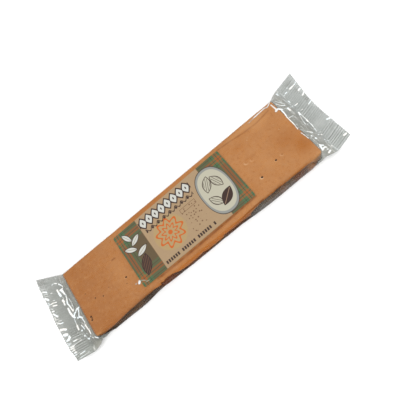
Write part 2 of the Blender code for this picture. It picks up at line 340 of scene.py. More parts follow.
# The studio: its square soft lights by name, place, size and power, and its floor and world
LIGHTS = (
    ("overhead soft light", (0.14, -0.42, 1.25), 1.1, 15.2),
    ("far strip light", (-0.35, 0.55, 0.45), 0.22, 1.3),
    ("end strip light", (0.75, 0.15, 0.45), 0.2, 1.1),
    ("near strip light", (-0.6, -0.45, 0.5), 0.2, 0.4),
)
WORLD_LIGHT = 0.48
FLOOR_HALF = 2.5

# How much of a colour is paint, as the studio light is strong
PAINT = 0.91


# Small sums on arrays


def smooth_step(value, low, high):
    share = np.clip((value - low) / (high - low), 0.0, 1.0)
    return share * share * (3.0 - 2.0 * share)


def step_mm(value, low, high):
    """A smooth step between two lengths that are given in millimetres."""
    return smooth_step(value, low * MM, high * MM)


def mix(start, end, share):
    return start + (end - start) * share


def hills(places, size, seed):
    """Smooth noise from -1 to 1 with bumps about one size across, at an (n, k) array of places."""
    rng = np.random.default_rng(seed)
    order = rng.permutation(256)
    heights = rng.uniform(-1.0, 1.0, 256)
    scaled = np.asarray(places, float) / size
    cell = np.floor(scaled).astype(int)
    part = scaled - cell
    part = part * part * (3.0 - 2.0 * part)
    total = np.zeros(len(scaled))
    for corner in itertools.product((0, 1), repeat=scaled.shape[1]):
        index = np.zeros(len(scaled), int)
        share = np.ones(len(scaled))
        for axis, step in enumerate(corner):
            index = order[(index + cell[:, axis] + step) % 256]
            share = share * (part[:, axis] if step else 1.0 - part[:, axis])
        total += heights[index] * share
    return total


def ridges(places, size, seed):
    """Sharp creases: near 1 along thin winding lines, and falling towards 0 between them."""
    return 1.0 - np.minimum(1.0, 2.2 * np.abs(hills(places, size, seed)))


def distance_to_path(places, path):
    """The plan distance of each place from a path of straight runs."""
    nearest = np.full(len(places), np.inf)
    for start, end in zip(path, path[1:]):
        start = np.array(start)
        run = np.array(end) - start
        share = np.clip((places - start) @ run / (run @ run), 0.0, 1.0)
        nearest = np.minimum(nearest, np.linalg.norm(places - start - share[:, None] * run, axis=1))
    return nearest


def read_off(x, rows):
    """The length, from a table of places along X and lengths, both in millimetres."""
    return MM * np.interp(x / MM, *np.array(rows).T)


def strokes(rows):
    """The rows of a table of lines, each as its path, half width and strength."""
    for *path, half, strength in rows:
        yield np.array(path, float).reshape(-1, 2), half, strength


def blobs(places, rows):
    """The sum of soft spots, each given by place, half sizes and strength."""
    total = np.zeros(len(places))
    for x, y, half_x, half_y, strength in rows:
        away = ((places[:, 0] - x) / half_x) ** 2 + ((places[:, 1] - y) / half_y) ** 2
        total += strength * np.exp(-away)
    return total


# Meshes


def grid_faces(rings, count, first=0):
    """Quads that join closed rings of points, each ring count points long."""
    ring, place = np.meshgrid(np.arange(rings - 1), np.arange(count), indexing="ij")
    after = (place + 1) % count
    corners = [ring * count + place, ring * count + after]
    corners += [(ring + 1) * count + after, (ring + 1) * count + place]
    return (np.stack(corners, axis=-1).reshape(-1, 4) + first).tolist()


@contextlib.contextmanager
def editing(mesh):
    """A mesh as one that can be edited, which is written back at the end."""
    builder = bmesh.new()
    builder.from_mesh(mesh)
    yield builder
    builder.to_mesh(mesh)
    builder.free()


def new_piece(name, points, faces, material):
    """An object whose place is in its mesh, with smooth outward faces."""
    mesh = bpy.data.meshes.new(name)
    mesh.from_pydata([tuple(p) for p in points], [], faces)
    with editing(mesh) as builder:
        bmesh.ops.recalc_face_normals(builder, faces=builder.faces[:])
    mesh.materials.append(material)
    mesh.shade_smooth()
    item = bpy.data.objects.new(name, mesh)
    bpy.context.scene.collection.objects.link(item)
    return item


def store(mesh, **fields):
    """Keep numbers for each point of a mesh, which its material or a node tree then reads."""
    for name, values in fields.items():
        attribute = mesh.attributes.new(name, "FLOAT", "POINT")
        attribute.data.foreach_set("value", np.asarray(values, np.float32))


# Node trees


def two_way(operation, turned=False):
    """A Wire's method for a sum with another wire or a number."""

    def method(self, other):
        return self.math(operation, other, self) if turned else self.math(operation, self, other)

    return method


class Wire:
    """One output of a node tree, so that sums on it can be written as Python."""

    def __init__(self, graph, socket):
        self.graph = graph
        self.socket = socket

    def math(self, operation, *values):
        return self.graph.add("ShaderNodeMath", {"operation": operation}, dict(enumerate(values)))

    __add__, __radd__ = two_way("ADD"), two_way("ADD", True)
    __sub__, __rsub__ = two_way("SUBTRACT"), two_way("SUBTRACT", True)
    __mul__, __rmul__ = two_way("MULTIPLY"), two_way("MULTIPLY", True)
    __truediv__ = two_way("DIVIDE")
    __pow__ = two_way("POWER")
    most = two_way("MAXIMUM")
    least = two_way("MINIMUM")
    angle = two_way("ARCTAN2")
    fold = two_way("PINGPONG")

    def __abs__(self):
        return self.math("ABSOLUTE", self)

    def step(self, low, high):
        """0 below low, 1 above high, and smooth between; low above high turns it round."""
        settings = {"interpolation_type": "SMOOTHSTEP"}
        inputs = {"Value": self, "From Min": low, "From Max": high}
        return self.graph.add("ShaderNodeMapRange", settings, inputs)


class Graph:
    """Adds nodes to a tree: a node's settings are set first, and then its inputs."""

    def __init__(self, tree):
        self.tree = tree

    def add(self, kind, settings=None, inputs=None, output=0):
        node = self.tree.nodes.new(kind)
        for name, value in (settings or {}).items():
            setattr(node, name, value)
        for name, value in (inputs or {}).items():
            self.feed(node.inputs[name], value)
        return Wire(self, node.outputs[output])

    def feed(self, socket, value):
        if isinstance(value, Wire):
            self.tree.links.new(value.socket, socket)
        else:
            socket.default_value = value

    def blend(self, share, first, second):
        """A colour between two colours."""
        settings = {"data_type": "RGBA"}
        return self.add("ShaderNodeMix", settings, {0: share, 6: first, 7: second}, output=2)

    def noise(self, place, size, detail=2.0, roughness=0.5):
        """Shader noise from 0 to 1 with bumps about one size across."""
        inputs = {"Vector": place, "Scale": 1.0 / size, "Detail": detail, "Roughness": roughness}
        return self.add("ShaderNodeTexNoise", None, inputs)

    def stored(self, name):
        return self.add("ShaderNodeAttribute", {"attribute_name": name}, None, output=2)

    def parts(self, place):
        """The x, y and z of a place."""
        node = self.tree.nodes.new("ShaderNodeSeparateXYZ")
        self.feed(node.inputs[0], place)
        return [Wire(self, output) for output in node.outputs]


class Paint:
    """A colour over which others are blended, one after another."""

    def __init__(self, graph, share, first, second):
        self.graph = graph
        self.colour = graph.blend(share, first, second)

    def over(self, share, *tint):
        self.colour = self.graph.blend(share, self.colour, rgb(*tint))

    def lay(self, distance, ink, soft=PRINT_SOFTNESS):
        """Print an ink wherever a shape's distance is below 0."""
        self.colour = self.graph.blend(distance.step(soft, -soft), self.colour, ink)


def rgb(red, green, blue):
    """A colour given as 8-bit display values, as the linear values that a shader takes here."""
    parts = [part / 255.0 for part in (red, green, blue)]
    linear = [p / 12.92 if p <= 0.04045 else ((p + 0.055) / 1.055) ** 2.4 for p in parts]
    return (*(PAINT * p for p in linear), 1.0)


def start_material(name, **values):
    """A material with its Principled shader, and the graph that feeds it."""
    material = bpy.data.materials.new(name)
    material.use_nodes = True
    shader = material.node_tree.nodes["Principled BSDF"]
    for socket, value in values.items():
        shader.inputs[socket.replace("_", " ")].default_value = value
    return material, Graph(material.node_tree), shader


def object_place(graph):
    return graph.add("ShaderNodeTexCoord", None, None, output=3)


def stretch(graph, place, scale):
    settings = {"operation": "MULTIPLY"}
    return graph.add("ShaderNodeVectorMath", settings, {0: place, 1: scale})


def bump(graph, height, depth, strength=1.0):
    inputs = {"Height": height, "Distance": depth, "Strength": strength}
    return graph.add("ShaderNodeBump", None, inputs)


def dress(graph, shader, colour, roughness, normal=None):
    graph.feed(shader.inputs["Base Color"], colour)
    graph.feed(shader.inputs["Roughness"], roughness)
    if normal:
        graph.feed(shader.inputs["Normal"], normal)


def nougat_material():
    material, graph, shader = start_material("caramel nougat", Specular_IOR_Level=0.03)
    place = object_place(graph)
    broad = graph.noise(place, 30 * MM, 2.0)
    cloud = graph.noise(place, 6 * MM, 4.0, 0.6)
    mottle = graph.noise(place, 2.2 * MM, 3.0, 0.6)
    grain = graph.noise(place, 0.8 * MM, 3.0, 0.6)
    along, _, _ = graph.parts(place)
    deep = graph.stored("deep")
    paint = Paint(graph, broad.step(0.35, 0.65), rgb(172, 115, 66), rgb(178, 122, 73))
    # painted shade: the top darkens towards the -X end, standing in for light that falls more on the +X end
    paint.over(along.step(-20 * MM, -95 * MM) * 0.8, 158, 100, 53)
    paint.over(cloud.step(0.50, 0.72) * 0.25, 181, 128, 78)
    paint.over(cloud.step(0.46, 0.28) * 0.25, 163, 100, 46)
    paint.over(mottle.step(0.52, 0.70) * 0.30, 187, 134, 86)
    paint.over(mottle.step(0.46, 0.30) * 0.35, 151, 92, 42)
    paint.over(grain.step(0.60, 0.78) * 0.35, 194, 147, 98)
    paint.over(grain.step(0.38, 0.22) * 0.40, 130, 77, 38)
    # painted shade, and the nougat's own deeper tone
    paint.over(deep.step(0.0, 1.0) * 0.7, 159, 93, 33)
    # painted sheen and light, and the nougat's own paler tone
    paint.over(deep.step(0.0, -1.0) * 0.7, 189, 136, 87)
    # painted shade: a deeper, darker orange on the coat's rounded near shoulder
    paint.over(graph.stored("shoulder") * 0.82, 176, 98, 6)
    # a scratch, and painted shade: the label's shadow along its near edge and the shade of creases on the
    # top and near side
    paint.over(graph.stored("score") * 0.9, 115, 60, 25)
    paint.over(graph.stored("lip") * 0.85, 91, 52, 28)
    # painted highlight on one side of each air hole's rim
    paint.over(graph.stored("rim") * 0.9, 232, 194, 152)
    # painted shade in the air holes
    paint.over(graph.stored("hole_shade"), 48, 24, 12)
    normal = bump(graph, grain * 0.5 + mottle, 0.16 * MM, 0.7)
    dress(graph, shader, paint.colour, 0.45 + 0.18 * cloud, normal)
    return material


def core_material():
    material, graph, shader = start_material("dark core", Specular_IOR_Level=0.05)
    place = object_place(graph)
    crumb = graph.noise(place, 1.6 * MM, 4.0, 0.65)
    patch = graph.noise(stretch(graph, place, (0.35, 1.0, 1.0)), 6 * MM, 2.0)
    paint = Paint(graph, patch.step(0.4, 0.62), rgb(58, 42, 30), rgb(81, 57, 36))
    paint.over(graph.stored("ruddy").least(1.0), 96, 44, 6)
    paint.over(graph.stored("ruddy").step(1.0, 2.0), 150, 92, 30)
    paint.over(crumb.step(0.55, 0.75) * 0.22, 112, 74, 47)
    paint.over(crumb.step(0.42, 0.25) * 0.25, 44, 29, 23)
    dress(graph, shader, paint.colour, 0.5 + 0.25 * crumb, bump(graph, crumb, 0.3 * MM, 0.3))
    return material


def crumb_material():
    material, graph, shader = start_material("loose crumbs")
    place = object_place(graph)
    kind = graph.noise(place, 1.1 * MM, 1.0)
    paint = Paint(graph, kind.step(0.45, 0.55), rgb(86, 54, 38), rgb(190, 126, 78))
    dress(graph, shader, paint.colour, 0.55 + 0.2 * kind)
    return material


def film_material():
    material, graph, shader = start_material("clear film", IOR=1.49, Specular_IOR_Level=0.34)
    place = object_place(graph)
    haze, fold, shade, press = (graph.stored(name) for name in ("haze", "fold", "shade", "press"))
    along, _, _ = graph.parts(place)
    cloud = graph.noise(place, 6 * MM, 4.0, 0.6)
    fine = graph.noise(place, 0.8 * MM, 3.0, 0.6)
    wave = graph.stored("ridge").fold(0.5)
    # painted shade in the grooves between the crimp ridges and painted highlight on their crests
    groove_shade = wave.step(0.17, 0.07) * press
    crest_highlight = wave.step(0.22, 0.34) * press
    right = graph.blend(cloud, rgb(157, 162, 158), rgb(179, 183, 179))
    left = graph.blend(cloud, rgb(142, 145, 139), rgb(164, 167, 161))
    paint = Paint(graph, along.step(-90 * MM, -96 * MM), right, left)
    paint.over(abs(along).step(102 * MM, 99 * MM) * 0.5, 156, 152, 140)
    paint.over(shade.step(0.0, 1.0), 116, 118, 110)
    paint.over(shade.step(0.9, 2.0), 126, 106, 84)
    # painted light where the shade attribute is below 0
    paint.over(shade.step(0.0, -1.0), 206, 209, 204)
    paint.over(fine.step(0.5, 0.8) * 0.5, 204, 208, 204)
    paint.over(groove_shade * 0.7, 96, 95, 87)
    paint.over(crest_highlight * 0.45, 220, 224, 220)
    glint = graph.blend(cloud.step(0.42, 0.58), rgb(253, 250, 244), rgb(244, 252, 255))
    # painted glints: the fold attribute turns the film white along creases, wrinkles and the cut edge
    colour = graph.blend(fold.step(0.12, 0.62), paint.colour, glint)
    clearness = haze * (0.9 + 0.2 * cloud) + fold * 0.95 + groove_shade * haze * 0.3
    graph.feed(shader.inputs["Alpha"], clearness.least(0.98))
    wrinkle = graph.noise(stretch(graph, place, (1.0, 0.4, 1.0)), 2.4 * MM, 3.0, 0.55)
    dress(graph, shader, colour, 0.07 + 0.10 * cloud, bump(graph, wrinkle + fine * 0.2, 0.25 * MM, 0.7))
    return material


# The slice


def edge_radius(plan, normals):
    """How rounded the top edge is, by the way that its side faces. It tightens towards each corner."""
    near, far, end = side_weights(normals)
    sides = np.where(plan > 0.0, 1, -1)
    corner = np.array([CORNERS[tuple(side)] for side in sides.tolist()])
    reach = np.where(sides[:, 0] > 0, SLICE_END_X[+1], -SLICE_END_X[-1]) - np.abs(plan[:, 0])
    width = np.where(sides[:, 1] > 0, SLICE_FAR_Y, -SLICE_NEAR_Y) - np.abs(plan[:, 1])
    along, across = (0.95 * corner + 0.35 * np.maximum(0.0, run - corner) for run in (reach, width))
    side = near * np.minimum(EDGE_RADIUS["near"], along) + far * np.minimum(EDGE_RADIUS["far"], along)
    return side + end * np.minimum(EDGE_RADIUS["end"], across)


def slice_plan():
    """Evenly spaced points round the slice's plan, and their outward normals."""
    sides = {+1: SLICE_FAR_Y, -1: SLICE_NEAR_Y}
    path = []
    for quarter, (end, side) in enumerate(((+1, +1), (-1, +1), (-1, -1), (+1, -1))):
        radius = CORNERS[end, side]
        centre = np.array([SLICE_END_X[end] - end * radius, sides[side] - side * radius])
        for turn in np.linspace(quarter, quarter + 1, 13) * math.pi / 2.0:
            path.append(centre + radius * np.array([math.cos(turn), math.sin(turn)]))
    path = np.array(path + path[:1])
    run = np.r_[0.0, np.cumsum(np.linalg.norm(np.diff(path, axis=0), axis=1))]
    marks = np.linspace(0.0, run[-1], OUTLINE_POINTS, endpoint=False)
    plan = np.stack([np.interp(marks, run, path[:, axis]) for axis in (0, 1)], axis=1)
    along = np.roll(plan, -2, axis=0) - np.roll(plan, 2, axis=0)
    along /= np.linalg.norm(along, axis=1)[:, None]
    return plan, np.stack([along[:, 1], -along[:, 0]], axis=1)


def off_label(x):
    """0 under the label and 1 well away from it."""
    label_end = LABEL_HIGH.x + 4 * MM
    return smooth_step(np.abs(x), label_end, label_end + 16 * MM)


def top_swell(x):
    """The low waves along the top."""
    return SWELL * off_label(x) * np.sin(2.0 * math.pi * x / SWELL_LENGTH)


def top_height(plan):
    """The slice's top: nearly flat, with low swells away from the label and soft hollows."""
    dents = 0.05 * MM * hills(plan, 11 * MM, 3) + 0.02 * MM * hills(plan, 2.4 * MM, 4)
    return SLICE_TOP_Z + top_swell(plan[:, 0]) + off_label(plan[:, 0]) * dents


def side_weights(normals):
    """How much each place belongs to the near side, the far side and the ends."""
    near = np.clip(-normals[:, 1], 0.0, 1.0) ** 2
    far = np.clip(normals[:, 1], 0.0, 1.0) ** 2
    return near, far, 1.0 - near - far


def lap_length(plan, normals):
    """How far the coat laps down over the edge, measured along its own surface."""
    near, far, end = side_weights(normals)
    x, length = np.array(NEAR_LAP).T * MM
    lap = near * np.interp(plan[:, 0], x, length) + far * OTHER_LAP["far"] + end * OTHER_LAP["end"]
    smooth_part = step_mm(plan[:, 0], -40, -46) * near
    rough = 0.35 * MM * hills(plan, 2.6 * MM, 12) + 0.22 * MM * np.round(1.6 * hills(plan, 1.2 * MM, 13))
    wave = 1.6 * MM * hills(plan, 13 * MM, 14) * (1.0 - near)
    return np.maximum(0.6 * MM, lap + wave + rough * (1.0 - 0.75 * smooth_part))


def skewed(points):
    """Slant the slice's ends a little, as they were cut."""
    out = points.copy()
    width = SLICE_FAR_Y - SLICE_NEAR_Y
    for end in (+1, -1):
        weight = step_mm(end * points[:, 0], 40, 93)
        across = (SLICE_FAR_Y - points[:, 1]) / width
        out[:, 0] += end * mix(*SLICE_END_SKEW[end], across) * weight
    place, half, depth = NEAR_DENT
    dent = depth * MM * np.exp(-((points[:, 0] / MM - place) / half) ** 2)
    out[:, 1] += dent * smooth_step(-points[:, 1], 12 * MM, -SLICE_NEAR_Y)
    out[:, 1] += read_off(points[:, 0], FAR_BOW) * smooth_step(points[:, 1], 12 * MM, SLICE_FAR_Y)
    return out


def edge_profile(plan, normals, radius, length, inset):
    """Points a given length over the rounded edge, and inset below the surface."""
    quarter = radius * math.pi / 2.0
    turn = np.minimum(length, quarter) / radius
    drop = np.maximum(length - quarter, 0.0)
    inner = radius - inset
    out = inner * np.sin(turn) - radius
    top = top_height(plan)
    z = top - radius + inner * np.cos(turn) - drop
    where = plan + normals * out[:, None]
    return np.column_stack([where, z])


def spine_of(plan):
    """The nearest point on the line that the slice's rings shrink to."""
    middle = (SLICE_FAR_Y + SLICE_NEAR_Y) / 2.0
    half = (SLICE_FAR_Y - SLICE_NEAR_Y) / 2.0
    low, high = SLICE_END_X[-1] + half, SLICE_END_X[+1] - half
    x = np.interp(plan[:, 0], (SLICE_END_X[-1], SLICE_END_X[+1]), (low, high))
    x = mix(x, np.clip(plan[:, 0], low, high), 0.85)
    return np.column_stack([x, np.full(len(plan), middle)])


def flat_rings(edge, height, count, inset=0.0):
    """Rings from the spine out to an edge, on a surface whose height is given by a function."""
    spine = spine_of(edge)
    rings = []
    for share in np.linspace(0.0, 1.0, count, endpoint=False):
        plan = mix(spine, edge, share)
        rings.append(np.column_stack([plan, height(plan) - inset]))
    return rings


def build_coat():
    """The light coat: the top of the slice, and a ragged lap over its edges."""
    plan, normals = slice_plan()
    radius = edge_radius(plan, normals)
    lap = lap_length(plan, normals)
    inner_edge = plan - normals * radius[:, None]
    rings = flat_rings(inner_edge, top_height, TOP_RINGS)
    over = [np.full(len(plan), np.nan)] * TOP_RINGS
    for share in np.linspace(0.0, 1.0, LAP_RINGS + 1):
        rings.append(edge_profile(plan, normals, radius, lap * share, 0.0))
        over.append(lap * (1.0 - share))
    for depth in (0.3, 0.6):
        rings.append(edge_profile(plan, normals, radius, lap + 0.05 * MM, COAT_THICKNESS * depth))
        over.append(np.zeros(len(plan)))
    for share in (0.9, 0.6, 0.3, 0.0):
        inset = COAT_THICKNESS * (1.0 - 0.4 * share)
        rings.append(edge_profile(plan, normals, radius, lap * share, inset))
        over.append(lap * (1.0 - share))
    rings += flat_rings(inner_edge, top_height, INNER_RINGS, COAT_THICKNESS)[::-1]
    over += [np.full(len(plan), np.nan)] * INNER_RINGS
    points = np.concatenate(rings)
    over = np.concatenate(over)
    flat = np.isnan(over)
    near, _, _ = side_weights(np.tile(normals, (len(rings), 1)))
    x = points[:, 0]
    soft = 0.25 * MM + 0.9 * MM * step_mm(x, -41, -48)
    soft += 0.7 * MM * step_mm(x, 38, 44) * step_mm(x, 84, 79)
    lip = np.where(flat, 0.0, np.exp(-np.nan_to_num(over) / soft))
    run = np.tile(lap, len(rings)) - np.nan_to_num(over)
    # the shoulder share is painted shade on the coat's rounded near side, weaker towards the +X end
    shoulder = np.where(flat, 0.0, step_mm(run, 1.6, 4.2)) * (0.3 + 0.7 * near)
    shoulder *= 0.45 + 0.55 * step_mm(x, -50, -30)
    shoulder *= 1.0 - 0.9 * step_mm(x, 78, 86)
    faces = grid_faces(len(rings), OUTLINE_POINTS)
    coat = new_piece("nougat_coat", skewed(points), faces, nougat_material())
    # deep holds painted shade, sheen and light as well as the nougat's uneven tone, on the top and upper
    # sides
    top = smooth_step(points[:, 2], SLICE_TOP_Z - 5.5 * MM, SLICE_TOP_Z - 3.5 * MM)
    deep = top * tone_shade_and_sheen_field(points[:, :2] / MM)
    score = np.maximum(top * score_field(points[:, :2] / MM), side_score_field(points))
    store(coat.data, shoulder=shoulder, lip=lip, deep=deep, score=score)
    close_spines(coat.data)
    pierce(coat.data)
    return coat


def tone_shade_and_sheen_field(places):
    return blobs(places, TONE_SHADE_AND_SHEEN_PATCHES) + 0.15 * hills(places, 9.0, 15)


def score_field(places):
    total = np.zeros(len(places))
    broken = 0.7 + 0.3 * hills(places, 2.5, 16)
    for path, width, strength in strokes(SCORES_AND_SHADE_LINES):
        total = np.maximum(total, strength * broken * np.exp(-(distance_to_path(places, path) / width) ** 2))
    return total


def side_score_field(points):
    """The painted shade of the creases in the coat's near side, which are given by place along X and height.
    """
    total = np.zeros(len(points))
    for path, width, strength in strokes(SIDE_SHADE_LINES):
        away = distance_to_path(points[:, [0, 2]] / MM, path) / width
        total = np.maximum(total, strength * np.exp(-away ** 2))
    return total * (points[:, 1] < SLICE_NEAR_Y + 2.5 * MM)


def close_spines(mesh):
    """Join the two sides of each ring set where they meet along the spine."""
    with editing(mesh) as builder:
        bmesh.ops.remove_doubles(builder, verts=builder.verts[:], dist=0.004 * MM)
        bmesh.ops.dissolve_degenerate(builder, edges=builder.edges[:], dist=0.002 * MM)
        bmesh.ops.recalc_face_normals(builder, faces=builder.faces[:])


def pierce(mesh):
    """Sink the air holes into the coat, on a finer mesh round each one."""
    with editing(mesh) as builder:
        middles = np.array(AIR_HOLES)[:, :2] * MM
        for _ in range(2):
            near_edges = set()
            for face in builder.faces:
                if face.normal.z > 0.7:
                    away = np.linalg.norm(middles - np.array(face.calc_center_median()[:2]), axis=1)
                    if away.min() < 1 * MM:
                        near_edges.update(face.edges)
            bmesh.ops.subdivide_edges(builder, edges=list(near_edges), cuts=1, use_grid_fill=True)
        layers = [builder.verts.layers.float.new(name) for name in ("hole_shade", "rim")]
        for vertex in builder.verts:
            if vertex.normal.z >= 0.5 and vertex.co.z >= SLICE_TOP_Z - 0.6 * MM:
                sink(vertex, *layers)
    mesh.shade_smooth()


def sink(vertex, hole_shade, pale):
    """Move a point of the top into the air holes that it is near, and keep how deep it sits, as painted
    shade in the hole, and how pale it is, as a painted highlight on one side of the rim.
    """
    for x, y, across, depth, rim_highlight in AIR_HOLES:
        out_x = vertex.co.x / MM - x
        out_y = (vertex.co.y / MM - y) * 1.25
        away = math.hypot(out_x, out_y) / (across / 2.0)
        if away < 2.2:
            sunk = float(smooth_step(-away, -1.15, -0.45))
            rim = math.exp(-((away - 1.35) / 0.36) ** 2)
            # the painted highlight falls on one side of the rim only
            lit = (0.5 - 0.5 * math.cos(math.atan2(out_y, out_x) - 0.6)) ** 2.5
            vertex.co.z += (0.10 * depth * rim - depth * sunk) * MM
            vertex[hole_shade] = max(vertex[hole_shade], sunk * min(1.0, depth / 0.35))
            vertex[pale] = max(vertex[pale], rim * lit * rim_highlight)


def build_core():
    """The dark core, which shows at the sides under the coat and fills the film's bulge there."""
    plan, normals = slice_plan()
    radius = edge_radius(plan, normals)
    lap = lap_length(plan, normals)
    near, far, _ = side_weights(normals)
    inset = COAT_THICKNESS * 0.9
    inner_edge = plan - normals * radius[:, None]
    foot = 0.9 * MM
    length = radius * math.pi / 2.0 + SLICE_TOP_Z - SLICE_FOOT_Z - radius - foot
    film_y = NEAR_SIDE_Y - read_off(plan[:, 0], NEAR_BULGE)
    reach = np.abs(plan[:, 0])
    away_from_end = 1.0 - step_mm(reach, 86.5, 92)
    gusset = 0.85 * GUSSET_BULGE * near * away_from_end * smooth_step(reach, GUSSET_START, FILM_END_X)
    bulge = near * away_from_end * np.maximum(0.0, plan[:, 1] + inset - film_y - FILM_CLEARANCE)
    bulge += (near * (1.0 - away_from_end) + far) * 0.4 * MM
    rings = flat_rings(inner_edge, top_height, CORE_TOP_RINGS, inset)
    for share in np.linspace(0.0, 1.0, CORE_SIDE_RINGS):
        run = length * share
        ring = edge_profile(plan, normals, radius, run, inset)
        rise = (ring[:, 2] - (SLICE_TOP_Z + SLICE_FOOT_Z) / 2.0) / (SLICE_TOP_Z - SLICE_FOOT_Z) * 2.0
        swollen = bulge + gusset * np.maximum(0.0, 1.0 - (rise / 0.84) ** 2)
        swollen *= smooth_step(run, lap + 0.1 * MM, lap + 1.2 * MM + 1.3 * swollen)
        ring[:, :2] += normals * swollen[:, None]
        rings.append(ring)
    for turn in np.linspace(0.0, math.pi / 2.0, CORE_FOOT_RINGS + 1)[1:]:
        inward = inset - bulge + foot * (1.0 - math.cos(turn))
        z = SLICE_FOOT_Z + foot * (1.0 - math.sin(turn))
        rings.append(np.column_stack([plan - normals * inward[:, None], np.full(len(plan), z)]))
    under = flat_rings(rings[-1][:, :2], lambda p: np.full(len(p), SLICE_FOOT_Z), CORE_UNDER_RINGS)
    rings += under[::-1]
    points = np.concatenate(rings)
    across = np.tile(normals, (len(rings), 1))
    counts = (CORE_TOP_RINGS, CORE_SIDE_RINGS + CORE_FOOT_RINGS, CORE_UNDER_RINGS)
    at_side = np.repeat([0.0, 1.0, 0.0], [count * OUTLINE_POINTS for count in counts])
    crumble = 0.10 * MM * hills(points, 1.7 * MM, 21) + 0.08 * MM * hills(points, 4.6 * MM, 22)
    points[:, :2] += across * (at_side * (crumble - 0.05 * MM))[:, None]
    faces = grid_faces(len(rings), OUTLINE_POINTS)
    core = new_piece("dark_core", skewed(points), faces, core_material())
    ruddy = np.zeros(len(points))
    for place, half, strength in RUDDY_PLACES:
        ruddy = np.maximum(ruddy, strength * np.exp(-((points[:, 0] / MM - place) / half) ** 4))
    store(core.data, ruddy=ruddy * (points[:, 1] < 0.0))
    close_spines(core.data)
    return core


# The film


def quarter_outline(share, half_width, half_height, radius):
    """Points on a quarter of a rounded rectangle, from its side's middle to its face's middle."""
    side = half_height - radius
    bend = math.pi * radius / 2.0
    run = share * (side + bend + half_width - radius)
    turn = np.clip((run - side) / radius, 0.0, math.pi / 2.0)
    across = half_width - radius + radius * np.cos(turn) - np.maximum(0.0, run - side - bend)
    return across, np.minimum(run, side) + radius * np.sin(turn)


def ring_shares():
    """For each point of a film ring: its share from the far side to the near side, and its layer."""
    run = np.arange(2 * FILM_SPANS) / FILM_SPANS
    return np.where(run < 1.0, run, 2.0 - run), run < 1.0


def tube_ring(x):
    """The film round the slice at one place along it."""
    share, upper = ring_shares()
    end = 1 if x > 0.0 else -1
    end_share = float(smooth_step(abs(x), FILM_END_X - 2 * MM, FILM_END_X))
    far_y = FAR_SIDE_Y + read_off(x, FAR_BOW) - END_TUCK * end_share
    near_y = NEAR_SIDE_Y - read_off(x, NEAR_BULGE) + END_TUCK * end_share
    half_width = (far_y - near_y) / 2.0
    middle_z = (FILM_TOP_Z + FILM_BOTTOM_Z) / 2.0
    top = FILM_TOP_Z + float(top_swell(x)) - END_DROP * end_share - middle_z
    bottom = middle_z - FILM_BOTTOM_Z - END_DROP * end_share
    far = share <= 0.5
    quarter = 1.0 - np.abs(2.0 * share - 1.0)
    across = np.zeros(len(share))
    up = np.zeros(len(share))
    for is_far, is_upper in itertools.product((True, False), repeat=2):
        pick = (far == is_far) & (upper == is_upper)
        shoulder = FAR_SHOULDER if is_far else NEAR_SHOULDER
        height = top if is_upper else bottom
        radius = shoulder if is_upper else FOOT_RADIUS
        out, rise = quarter_outline(quarter[pick], half_width, height, radius)
        bulge = GUSSET_BULGE * float(smooth_step(abs(x), GUSSET_START, FILM_END_X))
        bulge = bulge * smooth_step(out, half_width - 2.0 * shoulder, half_width)
        across[pick] = (out + bulge * (1.0 - (rise / height) ** 2)) * (1.0 if is_far else -1.0)
        up[pick] = rise * (1.0 if is_upper else -1.0)
    y = (far_y + near_y) / 2.0 + across
    skew = mix(*SLICE_END_SKEW[end], (FAR_SIDE_Y - y) / (FAR_SIDE_Y - NEAR_SIDE_Y))
    shift = end * skew * smooth_step(abs(x), 40 * MM, FILM_END_X)
    return np.column_stack([x + shift, y, middle_z + up])


def seal_ring(end, depth):
    """The two pressed layers of a seal, from its inner line at depth 0 to its cut edge at 1."""
    share, upper = ring_shares()
    seal = SEALS[end]
    far_y = mix(seal["inner_y"][0], seal["outer_y"][0], depth)
    near_y = mix(seal["inner_y"][1], seal["outer_y"][1], depth)
    outer_x = mix(*seal["outer_x"], share) + seal["bow"] * np.sin(math.pi * share)
    teeth = CUT_TEETH * (2.0 * np.abs(2.0 * np.mod(share * RIDGE_COUNT, 1.0) - 1.0) - 1.0)
    inner_x = CRIMP_X + 0.5 * MM * hills(np.column_stack([share]), 0.13, 31 + end)
    x = mix(inner_x, outer_x, depth) + teeth * depth ** 8
    sway = SEAL_SWAY * depth * np.sin(2.0 * math.pi * (1.5 * share + 0.1))
    lift = seal["corner_lift"] * (depth * (1.0 - share)) ** 2
    spot = np.column_stack([share * SEAL_WIDTH, np.full(len(share), depth * SEAL_DEPTH)])
    curl = seal["curl"] * depth ** 3 * hills(spot, 3.4 * MM, 35 + end)
    gap = np.where((share <= 0.0) | (share >= 1.0), 0.0, SEAL_GAP / 2.0)
    z = SEAL_Z + sway + lift + curl + np.where(upper, gap, -gap)
    return np.column_stack([end * x, mix(far_y, near_y, share), z])


def neck_ring(end, share):
    """The taut film between the slice's end and its seal."""
    inner, outer = tube_ring(end * FILM_END_X), seal_ring(end, 0.0)
    ring = mix(inner, outer, share)
    across, _ = ring_shares()
    flare = FLARES[end]
    early = mix(flare["far"], flare["near"], smooth_step(across, 0.2, 0.8))
    ring[:, 1] = mix(inner[:, 1], outer[:, 1], share ** early)
    return ring


